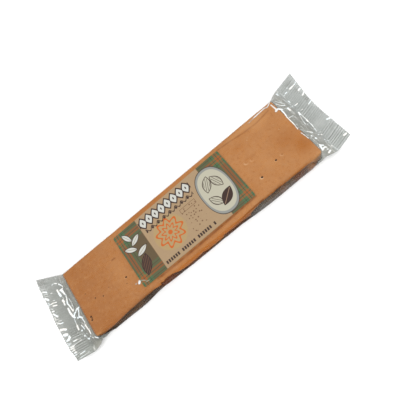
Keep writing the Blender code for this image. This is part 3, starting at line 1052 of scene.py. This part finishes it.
def film_rings():
    """Every ring of the film from one cut edge to the other, with how deep it is in a seal."""
    ends = {}
    for end in (+1, -1):
        neck_steps = round((CRIMP_X - FILM_END_X) / FILM_END_STEP)
        seal_steps = round((SEALS[end]["outer_x"][0] - CRIMP_X) / FILM_END_STEP)
        necks = [(neck_ring(end, step / neck_steps), 0.0) for step in range(neck_steps)]
        seals = [(seal_ring(end, d), d) for d in np.linspace(0.0, 1.0, seal_steps + 1)]
        ends[end] = necks + seals
    close_up = np.arange(FILM_END_X - 4 * MM, FILM_END_X - 0.1 * MM, FILM_END_STEP)
    half = np.r_[np.arange(FILM_TUBE_STEP, FILM_END_X - 4.5 * MM, FILM_TUBE_STEP), close_up]
    glint = np.arange(-54.0, -47.4, 0.45) * MM
    stations = np.r_[-half[::-1], 0.0, half]
    stations = stations[(stations < glint[0] - 0.2 * MM) | (stations > glint[-1] + 0.2 * MM)]
    stations = np.sort(np.r_[stations, glint])
    tube = [(tube_ring(float(x)), 0.0) for x in stations]
    return ends[-1][::-1] + tube + ends[+1]


def crumple(points, upper, depth, share):
    """Wrinkles and folds: how far each film point is pushed up, and how white its painted glint is."""
    plan = points[:, :2]
    reach = np.abs(points[:, 0])
    neck = step_mm(reach, 91.5, 95.5) * (1.0 - smooth_step(depth, 0.02, 0.25))
    seed = np.where(upper, 0.0, 40 * MM)
    stretched = np.column_stack([points[:, 0] * 2.1 + seed, points[:, 1] * 0.62])
    broad = hills(stretched, 7.5 * MM, 41)
    sharp = ridges(stretched + 3 * MM, 5 * MM, 42)
    small = ridges(plan + seed[:, None], 3.1 * MM, 43)
    push = neck * MM * (0.40 * broad + 0.42 * sharp ** 3 + 0.20 * small ** 2)
    push += 0.10 * MM * depth * hills(plan, 4 * MM, 44)
    # painted glints along the sharpest wrinkles in the necks
    fold = neck * (0.30 * sharp ** 6 + 0.16 * small ** 8)
    # a painted glint line along the crimp's inner edge
    inner_line = np.exp(-((depth - 0.03) / 0.025) ** 2) * (0.4 + 0.3 * hills(plan, 2.5 * MM, 45))
    fold += 0.25 * inner_line
    broken = 0.8 + 0.2 * smooth_step(hills(plan, 1.3 * MM, 46), -0.5, 0.3)
    free = step_mm(reach, 91, 95) * (1.0 - step_mm(reach, 104, 108))
    for path, width, white in strokes(CREASE_GLINTS):
        away = distance_to_path(plan, path * MM) / (width * MM)
        push += 0.45 * width * white * MM * free * upper * np.exp(-away ** 2)
        fold = np.maximum(fold, white * broken * upper * np.exp(-(0.85 * away) ** 4))
    tube = 1.0 - step_mm(reach, 90, 93)
    push += 0.03 * MM * tube * hills(stretched, 5 * MM, 47)
    spot = np.column_stack([share * SEAL_WIDTH, 0.4 * reach])
    # painted glints in flecks along the cut edge
    edge_glint = smooth_step(hills(spot, 0.85 * MM, 48), 0.25, 0.6)
    edge_glint_strength = np.where(points[:, 0] < 0.0, 0.40, 0.22) * smooth_step(depth, 0.55, 0.9)
    fold = np.maximum(fold, edge_glint_strength * upper * edge_glint)
    return push, np.clip(fold, 0.0, 1.0)


def film_haze(points, depth):
    """How much of the view the film takes up: little where it clings, much where it is free."""
    x, y, z = points.T
    reach = np.abs(x)
    free_end = np.where(x > 0.0, step_mm(reach, 92.5, 93.9), step_mm(reach, 93, 95.4))
    neck = free_end * (1.0 - step_mm(reach, 97, 101))
    haze = 0.015 + 0.52 * free_end + 0.12 * neck + 0.04 * smooth_step(depth, 0.0, 0.08)
    outward = -y - 0.4 * (z - SEAL_Z)
    haze = np.maximum(haze, 0.72 * step_mm(-x, 86, 93) * step_mm(outward, 23.6, 25))
    haze += 0.2 * step_mm(reach, 93, 95) * step_mm(-y, 24, 27)
    beside = step_mm(-z, -12.5, -11.3) * step_mm(-y, 19, 21)
    haze = np.maximum(haze, beside * (0.3 * step_mm(x, 85.5, 87) + 0.5 * step_mm(x, 90.6, 92.2)))
    haze = np.maximum(haze, 0.7 * step_mm(x, 86.5, 88.5) * step_mm(outward, 25.4, 26.1))
    low = np.where(x > 0.0, step_mm(-y, 24.2, 25.2), step_mm(-z, -7, -3))
    standing = step_mm(x, 26, 40) * (0.32 - 0.22 * step_mm(x, 82, 86)) + 0.12 * step_mm(-x, 46, 60)
    patchy = 0.75 + 0.35 * hills(points[:, :2], 9 * MM, 51)
    return np.maximum(haze, standing * low * (y < 0.0) * patchy)


def crimp_press(points, share):
    """How deep the crimp's ridges are at each place, which also varies from ridge to ridge."""
    x, y = points[:, 0] / MM, points[:, 1] / MM
    right, left = (np.interp(y, *np.array(RIDGE_SHOWS[end]).T) for end in (+1, -1))
    left *= smooth_step(-x, 103.5, 106.0)
    left = np.maximum(left, 0.30 * smooth_step(-x, 111.5, 113.5))
    each = np.random.default_rng(53).uniform(0.25, 1.25, RIDGE_COUNT + 1)
    patchy = 0.85 + 0.3 * hills(np.column_stack([share * SEAL_WIDTH / MM, 0.3 * x]), 4.0, 52)
    return np.where(x > 0.0, right, left) * patchy * each[np.round(share * RIDGE_COUNT).astype(int)]


def shade_field(places):
    return 0.15 * hills(places, 6.0, 54) + blobs(places, FILM_SHADES)


def start_tree(name, **inputs):
    """A node tree: itself, its graph, its inputs as wires, and their identifiers by name."""
    tree = bpy.data.node_groups.new(name, "GeometryNodeTree")
    sockets = {}
    for title, kind in inputs.items():
        item = tree.interface.new_socket(title, in_out="INPUT", socket_type="NodeSocket" + kind)
        sockets[title] = item.identifier
    tree.interface.new_socket("Result", in_out="OUTPUT", socket_type="NodeSocketGeometry")
    graph = Graph(tree)
    start = tree.nodes.new("NodeGroupInput")
    return tree, graph, [Wire(graph, start.outputs[title]) for title in inputs], sockets


def ridge_tree():
    """A node tree that presses the crimp ridges, which run along X, into the film's seals."""
    inputs = {"Film": "Geometry", "Height": "Float", "Finish": "Material"}
    tree, graph, (film, height, finish), sockets = start_tree("press crimp ridges", **inputs)
    wave = named(graph, "ridge").fold(0.5) * 4.0 - 1.0
    offset = graph.add("ShaderNodeCombineXYZ", None, {"Z": wave * height * named(graph, "press")})
    pressed = graph.add("GeometryNodeSetPosition", None, {"Geometry": film, "Offset": offset})
    finish_tree(graph, pressed, finish)
    return tree, sockets


def named(graph, name):
    settings = {"data_type": "FLOAT"}
    return graph.add("GeometryNodeInputNamedAttribute", settings, {"Name": name})


def finish_tree(graph, geometry, finish):
    """End a tree in real, finished geometry."""
    real = graph.add("GeometryNodeRealizeInstances", None, {"Geometry": geometry})
    done = graph.add("GeometryNodeSetMaterial", None, {"Geometry": real, "Material": finish})
    end = graph.tree.nodes.new("NodeGroupOutput")
    graph.feed(end.inputs[0], done)


def run_tree(item, tree, values):
    """Run a node tree on an object and keep the result as its plain mesh."""
    modifier = item.modifiers.new(tree.name, "NODES")
    modifier.node_group = tree
    for identifier, value in values.items():
        modifier[identifier] = value
    item.update_tag()
    shaped = item.evaluated_get(bpy.context.evaluated_depsgraph_get())
    mesh = bpy.data.meshes.new_from_object(shaped)
    item.modifiers.remove(modifier)
    item.data = mesh
    mesh.name = item.name
    return item


def build_film(finish):
    """The clear film: a closed tube round the slice with a crimped seal at each end."""
    rings = film_rings()
    share, upper = ring_shares()
    count = len(share)
    points = np.concatenate([ring for ring, _ in rings])
    depth = np.repeat([d for _, d in rings], count)
    share = np.tile(share, len(rings))
    upper = np.tile(upper, len(rings))
    push, fold = crumple(points, upper, depth, share)
    at_rim = np.minimum(share, 1.0 - share)
    push = push * smooth_step(at_rim, 0.0, 0.04)
    haze = film_haze(points, depth)
    points[:, 2] += np.where(upper | (depth > 0.0), push, -push)
    points[:, 2] = np.maximum(points[:, 2], FILM_BOTTOM_Z - 0.05 * MM)
    faces = grid_faces(len(rings), count)
    last = (len(rings) - 1) * count
    for first in (0, last):
        for step in range(FILM_SPANS):
            quad = [step, step + 1, count - step - 1, (count - step) % count]
            faces.append([first + corner for corner in dict.fromkeys(quad)])
    film = new_piece("film", points, faces, finish)
    press = crimp_press(points, share) * smooth_step(depth, 0.0, 0.09) * smooth_step(at_rim, 0.0, 0.02)
    shade = shade_field(points[:, :2] / MM)
    ridge = RIDGE_COUNT * (share + 0.011 * hills(share[:, None] * SEAL_WIDTH / MM, 4.5, 55))
    store(film.data, ridge=ridge, press=press, haze=haze, fold=fold, shade=shade)
    tree, sockets = ridge_tree()
    values = {sockets["Height"]: RIDGE_HEIGHT, sockets["Finish"]: finish}
    return run_tree(film, tree, values)


# The label


def bar(place, middle, half):
    """How far a place is outside a bar that is half wide to each side of its middle."""
    return abs(place - middle) - half


def leaf(u, v, middle, half, turn):
    """How far a place is outside a pointed oval."""
    lean = math.radians(turn)
    along = (u - middle[0]) * math.cos(lean) + (v - middle[1]) * math.sin(lean)
    across = (v - middle[1]) * math.cos(lean) - (u - middle[0]) * math.sin(lean)
    return abs(across) + (along / half[0]) ** 2 * half[1] - half[1], across, along


def around(u, v, middle):
    """Distance and angle from a middle."""
    out_u = u - middle[0]
    out_v = v - middle[1]
    return (out_u ** 2 + out_v ** 2) ** 0.5, out_v.angle(out_u)


def sett(graph, place, lines):
    """The tartan's stripes in one direction, by the place of a pair of lines and their repeat."""
    away = (place - lines[0]).fold(lines[1] / 2.0)
    brown = bar(away, 11.0, 5.6).step(0.3, -0.3)
    stripes = Paint(graph, brown, rgb(73, 99, 66), rgb(92, 76, 52))
    stripes.lay(bar(away, 3.6, 0.25), rgb(56, 60, 44))
    stripes.lay(bar(away, 1.0, 0.66), rgb(152, 84, 34))
    stripes.lay(bar(away, 0.0, 0.25), rgb(76, 64, 44))
    return stripes.colour


def label_material():
    """Printed paper: tartan ends, a plain panel with a rosette, and a plaque with nuts."""
    material, graph, shader = start_material("printed label paper", Specular_IOR_Level=0.3)
    place = object_place(graph)
    x, y = (part / MM - middle / MM for part, middle in zip(graph.parts(place), LABEL_MIDDLE))
    u = x * math.cos(LABEL_TURN) + y * math.sin(LABEL_TURN)
    v = y * math.cos(LABEL_TURN) - x * math.sin(LABEL_TURN)
    dark, cream, orange = rgb(54, 36, 29), rgb(194, 194, 186), rgb(188, 92, 30)
    fibre = graph.noise(place, 1.4 * MM, 3.0)

    weave = (u + v).fold(TWILL / 2.0).step(0.2 * TWILL, 0.3 * TWILL)
    along, across = sett(graph, u, TARTAN_LINES["along"]), sett(graph, v, TARTAN_LINES["across"])
    paint = Paint(graph, weave, along, across)

    panel_middle = (KRAFT_SPAN[0] + KRAFT_SPAN[1]) / 2.0
    panel = bar(u, panel_middle, (KRAFT_SPAN[1] - KRAFT_SPAN[0]) / 2.0)
    paint.lay(panel - 0.35, rgb(120, 94, 66))
    kraft = graph.blend(fibre, rgb(158, 132, 100), rgb(166, 140, 108))
    paint.lay(panel, kraft)

    radius, turn = around(u, v, DISC[0])
    paint.lay(radius - DISC[1], rgb(167, 141, 98), 0.6)
    for size, swing, line in ((8.6, 1.5, 0.75), (4.7, 1.2, 0.68)):
        star = turn.math("COSINE", turn * 9.0) * swing + size
        paint.lay(abs(radius - star) - line, orange)
    paint.lay(radius - 1.6, orange)

    row = BEAD_ROW
    inside = bar(u, row["middle"], row["half_run"])
    first = row["middle"] - row["half_run"] + row["step"] / 2.0
    across = (u - first).fold(row["step"] / 2.0)
    up = abs(v - row["height"])
    bead = (across / row["half"][0] + (up / row["half"][1]) ** 1.4 - 1.0) * 1.9
    paint.lay((bead - 0.9).most(inside - 0.6), dark)
    paint.lay(bead.most(inside), cream)
    paint.lay((bead + 1.5).most(inside), dark)

    inside = bar(u, VINE["middle"], VINE["half_run"])
    wave = u.math("SINE", u * (2.0 * math.pi / VINE["step"]))
    stem = abs(v - VINE["height"] - wave * VINE["swing"]) - 0.42
    paint.lay(stem.most(inside), dark)
    berry = (u - VINE["step"] / 4.0).fold(VINE["step"] / 2.0)
    drop = ((berry ** 2 + (v - VINE["height"] + 0.3) ** 2) ** 0.5) - 0.85
    paint.lay(drop.most(inside), dark)

    dots = graph.add("ShaderNodeTexVoronoi", None, {"Vector": place, "Scale": 1.0 / (2.1 * MM)}) * 2.1
    field = bar(u, 8.2, 6.6).most(bar(v, -4.6, 9.6))
    paint.lay((dots - 0.52).most(field), rgb(112, 82, 58))
    border = abs(bar(u, 8.0, 6.2).most(bar(v, 3.4, 1.5))) - 0.16
    paint.lay(border, rgb(118, 90, 64))

    row = STITCHES
    inside = bar(u, row["middle"], row["half_run"])
    dash = bar(u.fold(row["step"] / 2.0), 0.0, 0.62).most(bar(v, row["height"], 1.15))
    space = 0.9 - u.fold(row["group"] / 2.0)
    paint.lay(dash.most(inside).most(space), dark)

    for middle, half, lean in SPRIG_LEAVES:
        shape, across, _ = leaf(u, v, middle, half, lean)
        paint.lay(shape - 0.45, dark)
        paint.lay(shape, cream)
        paint.lay((abs(across) - 0.16).most(shape), rgb(140, 130, 112))
    pod, across, _ = leaf(u, v, *SPRIG_POD)
    paint.lay(pod, dark)
    ribs = abs(across.fold(1.2) - 0.6) - 0.16
    paint.lay(ribs.most(pod + 0.6), rgb(112, 78, 58))

    (middle_u, middle_v), (half_u, half_v) = PLAQUE
    size = (abs((u - middle_u) / half_u) ** 2.3 + abs((v - middle_v) / half_v) ** 2.3) ** (1.0 / 2.3)
    plaque = (size - 1.0) * half_u
    paint.lay(plaque - 0.4, rgb(70, 62, 54))
    paint.lay(plaque, rgb(138, 139, 134))
    paint.lay(plaque + 1.1, rgb(179, 175, 156))
    for middle, half, lean in NUT_OUTLINES:
        shape, across, along = leaf(u, v, middle, half, lean)
        line = abs(shape).least((abs(across.fold(1.3) - 0.65) + 0.14).most(shape + 1.0)) - 0.30
        paint.lay(line, dark)
    shape, across, _ = leaf(u, v, *NUT_FILLED)
    paint.lay(shape, dark)
    paint.lay((abs(across) - 0.2).most(shape + 1.0), rgb(150, 120, 96))

    # painted reflections of film wrinkles over the label's corner
    for middle, half, lean in LABEL_WRINKLE_REFLECTIONS:
        paint.lay(leaf(u, v, middle, half, lean)[0], rgb(150, 148, 130))
    dress(graph, shader, paint.colour, 0.42 + 0.16 * fibre, bump(graph, fibre, 0.05 * MM, 0.4))
    return material


def build_label():
    """The paper label, which lies on the film."""
    half_x, half_y = LABEL_SIZE[0] / 2.0, LABEL_SIZE[1] / 2.0
    ease = LABEL_CORNER * np.array([0.0, 0.25, 0.6])
    columns, rows = (
        np.r_[ease, np.linspace(LABEL_CORNER, 2 * half - LABEL_CORNER, count), 2 * half - ease[::-1]]
        for half, count in ((half_x, LABEL_COLUMNS), (half_y, LABEL_ROWS))
    )
    plan = np.stack(np.meshgrid(columns - half_x, rows - half_y, indexing="ij"), axis=-1).reshape(-1, 2)
    out = np.maximum(np.abs(plan) - (np.array([half_x, half_y]) - LABEL_CORNER), 0.0)
    length = np.maximum(np.hypot(out[:, 0], out[:, 1]), 1e-12)
    round_off = out * (out.max(axis=1) / length - 1.0)[:, None]
    plan += np.sign(plan) * round_off
    low = LABEL_LOW.z - 0.16 * MM + 0.09 * MM * (1.0 + hills(plan, 17 * MM, 61))
    cosine, sine = math.cos(LABEL_TURN), math.sin(LABEL_TURN)
    spin = np.array([[cosine, sine], [-sine, cosine]])
    plan = plan @ spin + np.array(LABEL_MIDDLE)
    points = np.concatenate([np.column_stack([plan, low]), np.column_stack([plan, low + LABEL_THICKNESS])])
    wide, high, total = len(columns), len(rows), len(plan)
    cell = (np.arange(wide - 1)[:, None] * high + np.arange(high - 1)).reshape(-1, 1)
    bottom = cell + np.array([0, 1, high + 1, high])
    faces = bottom.tolist() + (bottom[:, ::-1] + total).tolist()
    rim = [i * high for i in range(wide)]
    rim += [(wide - 1) * high + j for j in range(1, high)]
    rim += [i * high + high - 1 for i in range(wide - 2, -1, -1)]
    rim += list(range(high - 2, 0, -1))
    for first, second in zip(rim, rim[1:] + rim[:1]):
        faces.append([first, second, total + second, total + first])
    label = new_piece("paper_label", points, faces, label_material())
    label.data.set_sharp_from_angle(angle=math.radians(50.0))
    return label


# The seam and the crumbs


def film_underside(x):
    """The height of the film's underside along its middle."""
    reach = np.abs(x)
    end_share = smooth_step(reach, FILM_END_X - 2 * MM, FILM_END_X)
    rise = np.clip((reach - FILM_END_X) / (CRIMP_X - FILM_END_X), 0.0, 1.0)
    return mix(FILM_BOTTOM_Z + END_DROP * end_share, SEAL_Z - SEAL_GAP, rise)


def build_seam(finish):
    """The pack's long seam, folded flat along the middle of its underside."""
    rings = []
    turns = np.linspace(0.0, 2.0 * math.pi, SEAM_SPANS, endpoint=False)
    for place in np.linspace(-SEAM_END_X, SEAM_END_X, SEAM_RINGS):
        across = SEAM_MIDDLE_Y + SEAM_HALF_WIDTH * np.sign(np.cos(turns)) * np.abs(np.cos(turns)) ** 0.6
        sway = 0.5 * MM * math.sin(place / (31 * MM))
        top = float(film_underside(place)) - 0.03 * MM
        low = max(0.02 * MM, top - SEAM_THICKNESS)
        pressed = 0.03 * MM * np.cos(across * 2.0 * math.pi / (1.3 * MM))
        z = (top + low) / 2.0 + ((top - low) / 2.0 - 0.03 * MM) * np.sign(np.sin(turns)) + pressed
        z = np.where(np.abs(np.sin(turns)) < 0.05, (top + low) / 2.0, z)
        rings.append(np.column_stack([np.full(len(turns), place), across + sway, np.maximum(z, 0.01 * MM)]))
    points = np.concatenate(rings)
    count = len(turns)
    faces = grid_faces(len(rings), count)
    last = (len(rings) - 1) * count
    faces += [list(range(count)), [last + step for step in range(count)]]
    seam = new_piece("back_seam", points, faces, finish)
    # faint painted glints in streaks along the seam
    lines = hills(points * np.array([0.3, 2.2, 1.0]), 1.5 * MM, 71)
    store(seam.data, haze=np.full(len(points), 0.42), fold=0.25 * smooth_step(lines, 0.1, 0.6))
    return seam


def crumb_tree():
    """A node tree that scatters crumbs over the patches it is given."""
    inputs = {"Patches": "Geometry", "Density": "Float", "Size": "Float", "Finish": "Material"}
    tree, graph, (patches, density, size, finish), sockets = start_tree("scatter crumbs", **inputs)
    spread = {"Mesh": patches, "Density": density, "Seed": 5}
    spots = graph.add("GeometryNodeDistributePointsOnFaces", None, spread)
    lump = graph.add("GeometryNodeMeshIcoSphere", None, {"Radius": size, "Subdivisions": 2})
    place = graph.add("GeometryNodeInputPosition")
    rough = graph.add("ShaderNodeTexNoise", None, {"Vector": place, "Scale": 1400.0, "Detail": 2.0})
    push = graph.add("ShaderNodeVectorMath", {"operation": "SCALE"}, {0: place, "Scale": rough * 1.6 - 0.8})
    lump = graph.add("GeometryNodeSetPosition", None, {"Geometry": lump, "Offset": push})
    kind = {"data_type": "FLOAT_VECTOR"}
    turn = graph.add("FunctionNodeRandomValue", kind, {1: (6.3, 6.3, 6.3), "Seed": 7})
    scale = graph.add("FunctionNodeRandomValue", kind, {0: (0.4, 0.4, 0.3), 1: (1.2, 1.0, 0.8)})
    placed = {"Points": spots, "Instance": lump, "Rotation": turn, "Scale": scale}
    finish_tree(graph, graph.add("GeometryNodeInstanceOnPoints", None, placed), finish)
    return tree, sockets


def build_crumbs():
    """Crumbs that have broken off the slice and lie in the film."""
    points = []
    for low, high in CRUMB_PATCHES:
        low, high = np.array(low) * MM, np.array(high) * MM
        points += [low, (high[0], low[1], high[2]), high, (low[0], high[1], low[2])]
    faces = [[first, first + 1, first + 2, first + 3] for first in range(0, len(points), 4)]
    finish = crumb_material()
    crumbs = new_piece("loose_crumbs", points, faces, finish)
    tree, sockets = crumb_tree()
    values = {sockets["Density"]: CRUMB_DENSITY, sockets["Size"]: CRUMB_SIZE, sockets["Finish"]: finish}
    return run_tree(crumbs, tree, values)


# The studio


def build_camera():
    camera = bpy.data.objects.new("camera", bpy.data.cameras.new("camera"))
    flat = math.cos(CAMERA_ELEVATION)
    look = Vector((math.sin(CAMERA_HEADING), math.cos(CAMERA_HEADING), 0.0)) * flat
    look.z = -math.sin(CAMERA_ELEVATION)
    aim = look.to_track_quat("-Z", "Y").to_matrix().to_4x4()
    camera.matrix_world = Matrix.Translation(CAMERA_PLACE) @ aim @ Matrix.Rotation(CAMERA_ROLL, 4, "Z")
    camera.data.lens = CAMERA_LENS
    camera.data.sensor_width = CAMERA_SENSOR
    camera.data.sensor_fit = "HORIZONTAL"
    camera.data.clip_start = 0.01
    bpy.context.scene.collection.objects.link(camera)
    bpy.context.scene.camera = camera


def add_light(name, place, size, power):
    """A square soft light that faces the pack."""
    lamp = bpy.data.lights.new(name, "AREA")
    lamp.size = size
    lamp.energy = power
    item = bpy.data.objects.new(name, lamp)
    aim = (-Vector(place)).to_track_quat("-Z", "Y").to_matrix().to_4x4()
    item.matrix_world = Matrix.Translation(place) @ aim
    bpy.context.scene.collection.objects.link(item)


def build_studio():
    white = (0.96, 0.96, 0.96, 1.0)
    looks = {"Base_Color": white, "Roughness": 0.9, "Specular_IOR_Level": 0.1}
    material, _, _ = start_material("studio floor", **looks)
    corners = [(x * FLOOR_HALF, y * FLOOR_HALF, 0.0) for x, y in ((-1, -1), (1, -1), (1, 1), (-1, 1))]
    floor = new_piece("floor", corners, [[0, 1, 2, 3]], material)
    world = bpy.data.worlds.new("studio")
    world.use_nodes = True
    sky = world.node_tree.nodes["Background"].inputs
    sky["Color"].default_value = (1.0, 1.0, 1.0, 1.0)
    sky["Strength"].default_value = WORLD_LIGHT
    bpy.context.scene.world = world
    for light in LIGHTS:
        add_light(*light)
    bpy.context.scene.view_settings.view_transform = "Standard"


def keep_under_film(piece, film, depth):
    """Move the points of a piece that come too near to the film, or pass through it, back under it."""
    skin = BVHTree.FromPolygons([v.co for v in film.data.vertices], [p.vertices for p in film.data.polygons])
    for vertex in piece.data.vertices:
        place, normal, _, _ = skin.find_nearest(vertex.co)
        if (vertex.co - place).dot(normal) > -depth:
            vertex.co = place - normal * depth


def main():
    coat = build_coat()
    core = build_core()
    finish = film_material()
    film = build_film(finish)
    keep_under_film(coat, film, COAT_UNDER_FILM)
    keep_under_film(core, film, CORE_UNDER_FILM)
    seam = build_seam(finish)
    label = build_label()
    crumbs = build_crumbs()
    for piece, slot, node in (
        (coat, "nougat_top", "film_pack"),
        (core, "dark_layer", "film_pack"),
        (film, "clear_film", "film_pack"),
        (seam, "clear_film", "film_pack"),
        (crumbs, "dark_layer", "film_pack"),
        (label, "label_paper", "label"),
    ):
        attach(piece, BODY)
        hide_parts(node)
    build_camera()
    build_studio()


main()
